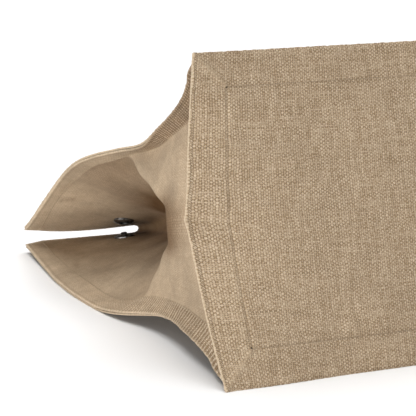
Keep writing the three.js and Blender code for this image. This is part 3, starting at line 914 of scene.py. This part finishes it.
def seam_mark(rows, hem=None):
    """Where a grid is sewn: along its side seams and, if it has one, its hem."""
    mask = np.zeros(rows.shape[:2])
    for column in (strips, rows.shape[1] - strips - 1):
        mask = np.maximum(mask, pressed(size(rows - rows[:, column : column + 1])))
    if hem:
        cloth = measured(rows)
        mask = np.maximum(mask, pressed(cloth[..., 1] - cloth[-1, 0, 1] + hem))
    mask[: turned + 1] = 0
    return mask


def read_grid(rows, column, row):
    """Values of a grid at fractional columns and rows."""
    i = np.clip(column.astype(int), 0, rows.shape[1] - 2)
    j = np.clip(row.astype(int), 0, rows.shape[0] - 2)
    s, r = (column - i)[:, None], (row - j)[:, None]
    upper = lerp(rows[j, i], rows[j, i + 1], s)
    return lerp(upper, lerp(rows[j + 1, i], rows[j + 1, i + 1], s), r)


def line_on(rows, outward, column, row):
    """A line of points on a grid, with normals that point outward."""
    return read_grid(rows, column, row), read_grid(normals(rows) * outward, column, row)


def side_rows(outer, outward):
    """The rows of stitches up both side seams of a grid."""
    count = 400
    up_rows = np.linspace(turned + 4, len(outer) - 1, count)
    columns = (strips - 1.5, outer.shape[1] - strips + 0.5)
    return [line_on(outer, outward, np.full(count, column), up_rows) for column in columns]


def on_panel(outer, side, reach, x, y):
    """A line of points on a panel, x across its rim and y along it."""
    column = np.interp(x, outer[-1, :, 0], np.arange(outer.shape[1]))
    return line_on(outer, side, column, np.interp(y, reach, np.arange(len(reach))))


hem_stitch = 0.004
handle_spacing = 0.120
handle_sides = np.array([bag_width - handle_spacing, bag_width + handle_spacing]) / 2
tail_box_half = 0.0075
tail_box_ends = (0.005, 0.026)
lining_from = 0.055
lining_to = 0.868
for which, wave, seed in (("front", 0.0013, 11), ("back", 0.0, 12)):
    side = seam_lines[which]["side"]
    rows = frayed(creased(soften(panel_rows(which), 2), wave, 0.09, seed), seed)
    outer = offset(rows, side * linen_thickness)
    cloth = measured(rows)
    panel = sheet(
        which + "_cloth", outer, rows, cloth, sewn=seam_mark(rows, hem_stitch), border=from_border(rows)
    )
    belongs(panel, linen, "bag", "linen", which + "_panel")

    reach = cloth[:, 0, 1]
    hem_row = np.interp(reach[-1] - hem_stitch, reach, np.arange(len(reach)))
    hem_columns = np.linspace(strips + 1, rows.shape[1] - strips - 2, 500)
    lines = [*side_rows(outer, side), line_on(outer, side, hem_columns, np.full(500, hem_row))]
    far_end, near_end = (reach[-1] - end for end in tail_box_ends)
    for centre in handle_sides:
        left_x, right_x = centre - tail_box_half, centre + tail_box_half
        box = [(left_x, far_end), (right_x, far_end), (right_x, near_end), (left_x, near_end)]
        around = np.concatenate([np.linspace(a, b, 30) for a, b in zip(box, box[1:] + box[:1])])
        slants = [np.linspace(box[3], box[1], 40), np.linspace(box[2], box[0], 40)]
        lines += [on_panel(outer, side, reach, *path.T) for path in (around, *slants)]
    sew(which + "_panel_stitching", linen_thread, "bag", "linen", *lines)

    first_column, last_column = strips + np.searchsorted(panel_u, (side_margin, 1 - side_margin))
    first_row, last_row = turned + np.searchsorted(panel_v, (lining_from, lining_to))
    part = rows[first_row:last_row, first_column:last_column]
    cloth = measured(part)
    back = offset(part, -side * (ply_gap + lining_thickness))
    lining = sheet(which + "_lining_cloth", offset(part, -side * ply_gap), back, cloth)
    belongs(lining, cotton, "bag", "cotton", which + "_lining")

# Side gussets. One strip of the same linen on each side, worn smooth by handling: a flat wall by the base,
# then two lobes that a deep middle crease folds in between the panels. A cotton lining lies inside each.
wall_inset = 0.014
wall_end = 0.0997
wall_end_height = 0.0525
upper_crease_end = 0.50
lower_crease_end = 0.415
fold_reach = 0.073
fold_height = 0.008
fold_dive = 2.5
wall_nose = 0.0075
fold_nose = 0.0033
nose_setback = 0.004
lobe_share = 0.46
rim_sag = 0.0016
lining_seat = 0.0009
gusset_tip = 0.0027
wall_start = base_point(base_flange, dent_height, seam_gap)
wall_corner = np.array([wall_inset, wall_end, wall_end_height])
fold_end = np.array([fold_reach, mouth_reach, fold_height])
wall_share = (wall_end - wall_start[1]) / (mouth_reach - wall_start[1])
half_shares = np.concatenate([[0, 0.01, 0.025], np.linspace(0.05, 1, 46)])
gusset_v = np.concatenate([near_ends, np.linspace(0.03, 0.97, 170), 1 - near_ends[::-1]])
half_level = 2 * lobe_share * half_shares
wall_t = np.concatenate([
    lerp(1 - seam_share, 0.5, half_level), [0.5], lerp(seam_share, 0.5, half_level)[::-1]
])


def folded_share(v):
    return np.clip((v - wall_share) / (1 - wall_share), 0, 1)


def middle_crease(v):
    if v < wall_share:
        return lerp(wall_start, wall_corner, v / wall_share)
    point = lerp(wall_corner, fold_end, folded_share(v))
    point[0] = lerp(wall_inset, fold_reach, 1 - (1 - folded_share(v)) ** fold_dive)
    return point


def lobe(which, crease_end, v):
    """One half of a section, from the side seam to the rounded nose of the middle crease."""
    side = seam_lines[which]["side"]
    folded = folded_share(v)
    nose = middle_crease(v) + np.array([-nose_setback * folded, 0, side * lerp(wall_nose, fold_nose, folded)])
    edge = seam(which, v) - flange(which, v)[1] * side * ply_gap / 2
    s = half_shares[:, None]
    if v <= wall_share or v >= crease_end:
        return lerp(edge, nose, s)
    corner = wall_corner + np.array([0, 0, side * wall_nose])
    bend = lerp(corner, seam(which, crease_end), (v - wall_share) / (crease_end - wall_share))
    first, second = size(edge - bend), size(bend - nose)
    run = s * (first + second)
    return np.where(run < first, lerp(edge, bend, run / first), lerp(bend, nose, (run - first) / second))


def gusset_section(v):
    """A section from the upper seam to the lower one."""
    if v == 0:
        return base_point(base_flange, wall_t, seam_gap)
    upper, lower = lobe("front", upper_crease_end, v), lobe("back", lower_crease_end, v)
    upper[:, 2] -= rim_sag * np.sin(np.pi * half_shares**0.8) * smooth((v - 0.6) / 0.4)
    return np.concatenate([upper, middle_crease(v)[None], lower[::-1]])


def gusset_rows():
    """A whole gusset: its allowance behind the base, its sections, and its two side strips."""
    sections = np.stack([gusset_section(v) for v in gusset_v])
    share = turn_in[:, None]
    made, allowance_t = [], []
    for which, column, tip_share, fold_share in (("front", 0, 0.972, 0.96), ("back", -1, 0.028, 0.04)):
        seam_line = sections[:, column][:, None]
        made.append(side_strip(which, gusset_v, seam_line, -1, gusset_tip, tip_share))
        fold = lerp(tip_share, fold_share, share)
        allowance_t.append(lerp(seam_lines[which]["start"], fold, strip_shares))
    body = np.concatenate([made[0], sections, made[1][:, ::-1]], 1)
    level_x = lerp(base_flange, gusset_tip, share)
    strip_x = lerp(level_x, gusset_tip, strip_shares)
    x = np.concatenate([strip_x, np.tile(level_x, (1, len(wall_t))), strip_x[:, ::-1]], 1)
    t = np.concatenate([allowance_t[0], np.tile(wall_t, (turned, 1)), allowance_t[1][:, ::-1]], 1)
    return np.concatenate([base_point(x, t, seam_gap), body], 0)


whole_v = np.concatenate([np.zeros(turned), gusset_v])
gusset_cloth = soften(gusset_rows(), 5)
past_wall = smooth((whole_v - 0.15) / 0.25)[:, None, None]
gusset_cloth = lerp(gusset_cloth, soften(gusset_cloth, 14), past_wall)
gusset_cloth = frayed(creased(gusset_cloth, 0.0013, 0.045, 21), 22)


def fading(value, start, reach):
    return 1 - smooth((value - start) / reach)


strip_crisp = 0.35 + 0.65 * fading(whole_v, 0.3, 0.3)
face_crisp = 0.26 + 0.2 * fading(whole_v, 0.2, 0.3)
in_strip = from_ends(gusset_cloth.shape[1]) < strips
gusset_crisp = np.where(in_strip, strip_crisp[:, None], face_crisp[:, None])
to_nose = np.concatenate([np.zeros(strips), half_shares])
# The shade mark below is painted shade: it darkens the gusset's colour in the folds, along the nose of the
# middle crease, deep in its hollow and on the wall just before the fold, where shade falls, and a little all
# over before the fold.
crease_blur = 0.02
nose_blur = 0.09
wall_blur = 0.16
wall_shade = 0.85
even_shade = 0.06


def lobe_shade(crease_end, deep_end, deep, by_nose):
    """Shade of one lobe: deep in the fold, along its nose, and on the wall just before the fold."""
    v = whole_v[:, None]
    past = v - lerp(crease_end, wall_share, to_nose)
    folded = smooth(past / lerp(crease_blur, nose_blur, smooth(to_nose)) + 0.5)
    band = deep * fading(v, deep_end, 0.25)
    nose = by_nose * smooth((to_nose - 0.35) / 0.5) * fading(v, 0.6, 0.35)
    on_wall = wall_shade * smooth(1 + past / wall_blur) ** 1.5 * smooth((to_nose - 0.5) / 0.5)
    return np.maximum(folded * (band + nose), on_wall) + even_shade * (1 - folded)


def small_dark_mark(v, share, high, wide):
    """A small dark mark in a lobe's colour, v up the lobe and a share in from its seam."""
    return hump(whole_v[:, None] - v, high) * hump(to_nose - share, wide)


upper_shade = lobe_shade(upper_crease_end, deep_end=0.62, deep=0.53, by_nose=0.75)
for mark_v, mark_share in ((0.848, 0.025), (0.839, 0.07), (0.831, 0.113)):
    upper_shade += 0.4 * small_dark_mark(mark_v, mark_share, high=0.01, wide=0.02)
lower_shade = lobe_shade(lower_crease_end, deep_end=0.36, deep=0.31, by_nose=0.5)
lower_shade += 0.3 * small_dark_mark(0.781, 0.06, high=0.02, wide=0.035)
hollow_shade = np.maximum(upper_shade[:, -1:], lower_shade[:, -1:])
gusset_shade = np.concatenate([upper_shade, hollow_shade, lower_shade[:, ::-1]], 1)
# The pinched strips by the base get painted shade too, the upper one more, where the base's flange shades
# them.
upper_strip_shade = 0.52
lower_strip_shade = 0.1
by_base = fading(whole_v, 0.3, 0.2)[:, None]
gusset_shade[:, :strips] = upper_strip_shade * by_base
gusset_shade[:, -strips:] = lower_strip_shade * by_base
# The gussets' linen is paler than the base's: partly its own worn colour, and partly painted light that lifts
# the outer lobes; the painted shade mark darkens it again elsewhere.
worn_linen_with_painted_light = woven_material(
    "worn_linen_with_painted_light",
    (0.68, 0.55, 0.40, 1),
    (0.30, 0.20, 0.11, 1),
    linen_gap,
    warp=1300,
    weft=820,
    fold=0.6,
    ribs=0.55,
    uneven=0.18,
)
pale_thread = thread_material("pale_linen_thread", (0.46, 0.35, 0.225))
gusset_seam = 0.2
edge_columns = strips + int(seam_margin / lobe_share * len(half_shares))
lining_low = 0.05
rim_rows = 6
low_row = turned + np.searchsorted(gusset_v, lining_low)
for end in ("left", "right"):
    rows = gusset_cloth if end == "left" else opposite(gusset_cloth)[:, ::-1]
    shade = gusset_shade if end == "left" else gusset_shade[:, ::-1]
    outer = offset(rows, -linen_thickness)
    gusset = sheet(
        end + "_gusset_cloth", outer, rows, measured(rows), sewn=gusset_seam * seam_mark(rows),
        border=from_border(rows), crisp=gusset_crisp, shade=shade,
    )
    belongs(gusset, worn_linen_with_painted_light, "bag", "linen", end + "_gusset")
    sew(end + "_gusset_stitching", pale_thread, "bag", "linen", *side_rows(outer, -1))

    part = rows[low_row:-rim_rows, edge_columns:-edge_columns]
    cloth = measured(part)
    face, back = offset(part, lining_seat), offset(part, lining_seat + lining_thickness)
    lining = sheet(end + "_gusset_lining_cloth", face, back, cloth)
    belongs(lining, cotton, "bag", "cotton", end + "_gusset_lining")

# Mouth facings and handle tails. A band of the same linen, 36 mm deep, faces each panel inside the mouth
# and closes over the ends of the handles. The tails are flat straps of tan leather held between the two.
facing_depth = 0.036
facing_lap = 0.0006
facing_seat = 0.0006
strap_thickness = 0.0032
tail_room = 0.011
tail_slope_run = 0.014
facing_start = 0.0406
facing_v = np.linspace(1 - (facing_depth - facing_lap) / mouth_reach, 1, 24)


def finished(name, material):
    """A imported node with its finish."""
    part = frame["nodes"][name]
    part.data.materials.clear()
    part.data.materials.append(material)
    return part


leather = plain_finish("tan_leather", (0.32, 0.12, 0.04, 1), roughness=0.45, grains=1400, depth=0.00012)
for which in ("front", "back"):
    side = seam_lines[which]["side"]
    rim_corner = panel_face(which, np.zeros(1), np.ones(1))[0, 0]
    x = np.linspace(facing_start, bag_width - facing_start, 240)
    u = (x - rim_corner) / (bag_width - 2 * rim_corner)
    rows = panel_face(which, *np.meshgrid(u, facing_v))
    from_tail = np.abs(x[:, None] - handle_sides).min(1) - tail_room
    stand_off = facing_seat + strap_thickness * ease(from_tail / tail_slope_run)
    lift = np.tile(stand_off, (len(facing_v), 1))
    cloth = measured(rows)
    face, back = offset(rows, -side * lift), offset(rows, -side * (lift + linen_thickness))
    hem = pressed(cloth[..., 1] - cloth[-1, 0, 1] + hem_stitch)
    facing = sheet(which + "_facing_cloth", back, face, cloth, sewn=hem)
    belongs(facing, linen, "bag", "linen", which + "_facing")
    for end in ("left", "right"):
        finished(f"{which}_{end}_tail", leather)

# Rolled handles. A strap of tan leather, 20 mm wide, is sewn round a cord into a 9 mm roll with its seam on
# the inside of the arch, and runs out flat at both ends, where it bends at the rim.
handle_radius = 0.0045
handle_drop = 0.150
strap_width = 0.020
flat_run = 0.008
rolling_run = 0.034
front_lift = 0.0024
front_slope = math.radians(22.6)
knuckle_radius = strap_thickness / 2
ridge = 0.12
ridge_width = 0.2
seam_turn = 0.62
seam_groove = 0.05
seam_width = 0.12


def handle_section(round_share, turns):
    """Distances across and up at turns round each section: a flat strap that becomes a ridged roll."""
    share = round_share[:, None]
    from_seam = np.minimum(turns, 2 * np.pi - turns)
    sewn_in = seam_groove * hump(from_seam - seam_turn, seam_width)
    swell = 1 + share * (ridge * hump(from_seam, ridge_width) - sewn_in)

    def squared(value):
        return np.sign(value) * np.abs(value) ** lerp(0.5, 1, share)

    wide = squared(np.cos(turns)) * lerp(strap_width / 2, handle_radius, share) * swell
    return wide, squared(np.sin(turns)) * lerp(knuckle_radius, handle_radius, share) * swell


def rolled_handle(name, knuckle, angle, lift):
    """A handle that leaves the rim at a knuckle, at an angle, and lies lifted off the cloth."""
    outward = np.array([0, math.cos(angle), math.sin(angle)])
    normal = np.cross([1.0, 0, 0], outward) * (-1 if angle > math.pi / 2 else 1)
    arch = handle_spacing / 2
    leg = handle_drop - arch
    tip = -knuckle_radius * np.array([0.995, 0.95, 0.85, 0.7, 0.5, 0.25])
    straight = np.concatenate([tip, np.linspace(0, leg, 70)])
    bend = np.linspace(0, np.pi, 96)[1:-1]
    turn = np.concatenate([0 * straight, bend, np.pi + 0 * straight])
    run = np.concatenate([straight, leg + 0 * bend, straight[::-1]])
    round_share = 1 - ease((run - flat_run) / rolling_run)
    cap = np.sqrt(np.clip(1 - (np.minimum(run, 0) / knuckle_radius) ** 2, 0.01, 1))
    sideways = bag_width / 2 - arch * np.cos(turn)
    centre = knuckle + np.outer(sideways, [1, 0, 0]) + np.outer(run + arch * np.sin(turn), outward)
    centre = centre + np.outer(lift * round_share, normal)
    across = np.outer(np.cos(turn), [1, 0, 0]) - np.outer(np.sin(turn), outward)
    sides = 36
    wide, high = handle_section(round_share, np.arange(sides) * 2 * np.pi / sides)
    points = centre[:, None] + across[:, None] * wide[..., None] + normal * (high * cap[:, None])[..., None]
    roll = new_piece(name + "_roll", points.reshape(-1, 3), tube_faces(1, len(points), sides))
    belongs(roll, leather, name, "leather", name)

    wide, high = handle_section(round_share, np.array([seam_turn]))
    sewn = slice(16, -16)
    lines = []
    for sign in (1, -1):
        line = centre + across * wide + normal * high * sign
        away = across * math.cos(seam_turn) + normal * math.sin(seam_turn) * sign
        lines.append((line[sewn], away[sewn]))
    sew(name + "_stitching", waxed_thread, name, "leather", *lines)


waxed_thread = thread_material("waxed_thread", (0.62, 0.5, 0.33))
in_place = {body: place - corner_place - np.array([bag_width / 2, 0, 0]) for body, place in hinge.items()}
rolled_handle("front_handle", in_place["front_handle"], math.pi - front_slope, front_lift)
rolled_handle("back_handle", in_place["back_handle"], 0, handle_radius - in_place["back_handle"][2])

# Press studs. On each side a socket in the upper lobe faces a stud in the lower one, with a cap on the
# inside of each. They are turned and pressed parts with a dark plated finish, lighter in random worn patches.
gunmetal, tree, shader = new_material("dark_plated_metal")
place = object_place(tree)
worn = stretch(noise(place, 500, 3), 0.35, 0.7)
plating = blend_colours(worn, (0.12, 0.117, 0.113, 1), (0.3, 0.29, 0.28, 1))
satin = stretch(noise(place, 900), 0.2, 0.8, 0.25, 0.45)
feed(shader.inputs["Base Color"], plating)
feed(shader.inputs["Roughness"], satin)
shader.inputs["Metallic"].default_value = 1.0
for end in ("left", "right"):
    for part in ("press_socket", "press_stud", "socket_cap", "stud_cap"):
        finished(f"{end}_{part}", gunmetal).data.shade_smooth()

# Floor. A plain white surface in even studio light: a very broad soft light overhead, two low soft lamps
# in front and on the left, and a surround that lights more from above. It is seen as pure white.
floor_half = 12.0
floor_mesh = bpy.data.meshes.new("floor")
floor_corners = [(x * floor_half, y * floor_half, 0) for x, y in ((-1, -1), (1, -1), (1, 1), (-1, 1))]
floor_mesh.from_pydata(floor_corners, [], [(0, 1, 2, 3)])
floor = put("floor", floor_mesh)
floor.location.z = -0.0002
paper, _, shader = new_material("white_floor")
shader.inputs["Base Color"].default_value = (0.92, 0.92, 0.92, 1)
shader.inputs["Roughness"].default_value = 1.0
shader.inputs["Specular IOR Level"].default_value = 0.0
floor_mesh.materials.append(paper)

world = bpy.data.worlds.new("studio")
bpy.context.scene.world = world
world.use_nodes = True
tree = world.node_tree
path = node(tree, "ShaderNodeLightPath")
seen = calc("MAXIMUM", path.outputs["Is Camera Ray"], path.outputs["Is Glossy Ray"])
seen = calc("MAXIMUM", seen, path.outputs["Is Transmission Ray"])
way = outputs("ShaderNodeSeparateXYZ", {0: node(tree, "ShaderNodeTexCoord").outputs["Generated"]})
softness = stretch(way[2], 0.0, 0.9, 0.05, 0.28)
surround = tree.nodes["Background"]
surround.inputs["Color"].default_value = (1, 1, 1, 1)
feed(surround.inputs["Strength"], calc("MAXIMUM", seen, softness))

key = bpy.data.lights.new("key_light", "SUN")
key.angle = math.radians(60)
key.energy = 3.0
put("key_light", key).rotation_euler = (math.radians(-6), math.radians(5), 0)


def soft_panel(name, place, aim, width, height, energy):
    """A soft lamp that looks from one place to another."""
    panel = bpy.data.lights.new(name, "AREA")
    panel.shape = "RECTANGLE"
    panel.size, panel.size_y = width, height
    panel.energy = energy
    lamp = put(name, panel)
    lamp.location = place
    lamp.rotation_euler = (Vector(aim) - Vector(place)).to_track_quat("-Z", "Y").to_euler()


front_aim, side_aim = (-0.1, -0.1, 0.05), (-0.1, -0.05, 0.05)
soft_panel("front_lamp", (-1.2, -1.9, 0.14), front_aim, width=1.5, height=0.26, energy=13)
soft_panel("side_lamp", (-1.9, -0.7, 0.2), side_aim, width=1.2, height=0.4, energy=13.5)

bpy.context.scene.view_settings.view_transform = "Standard"
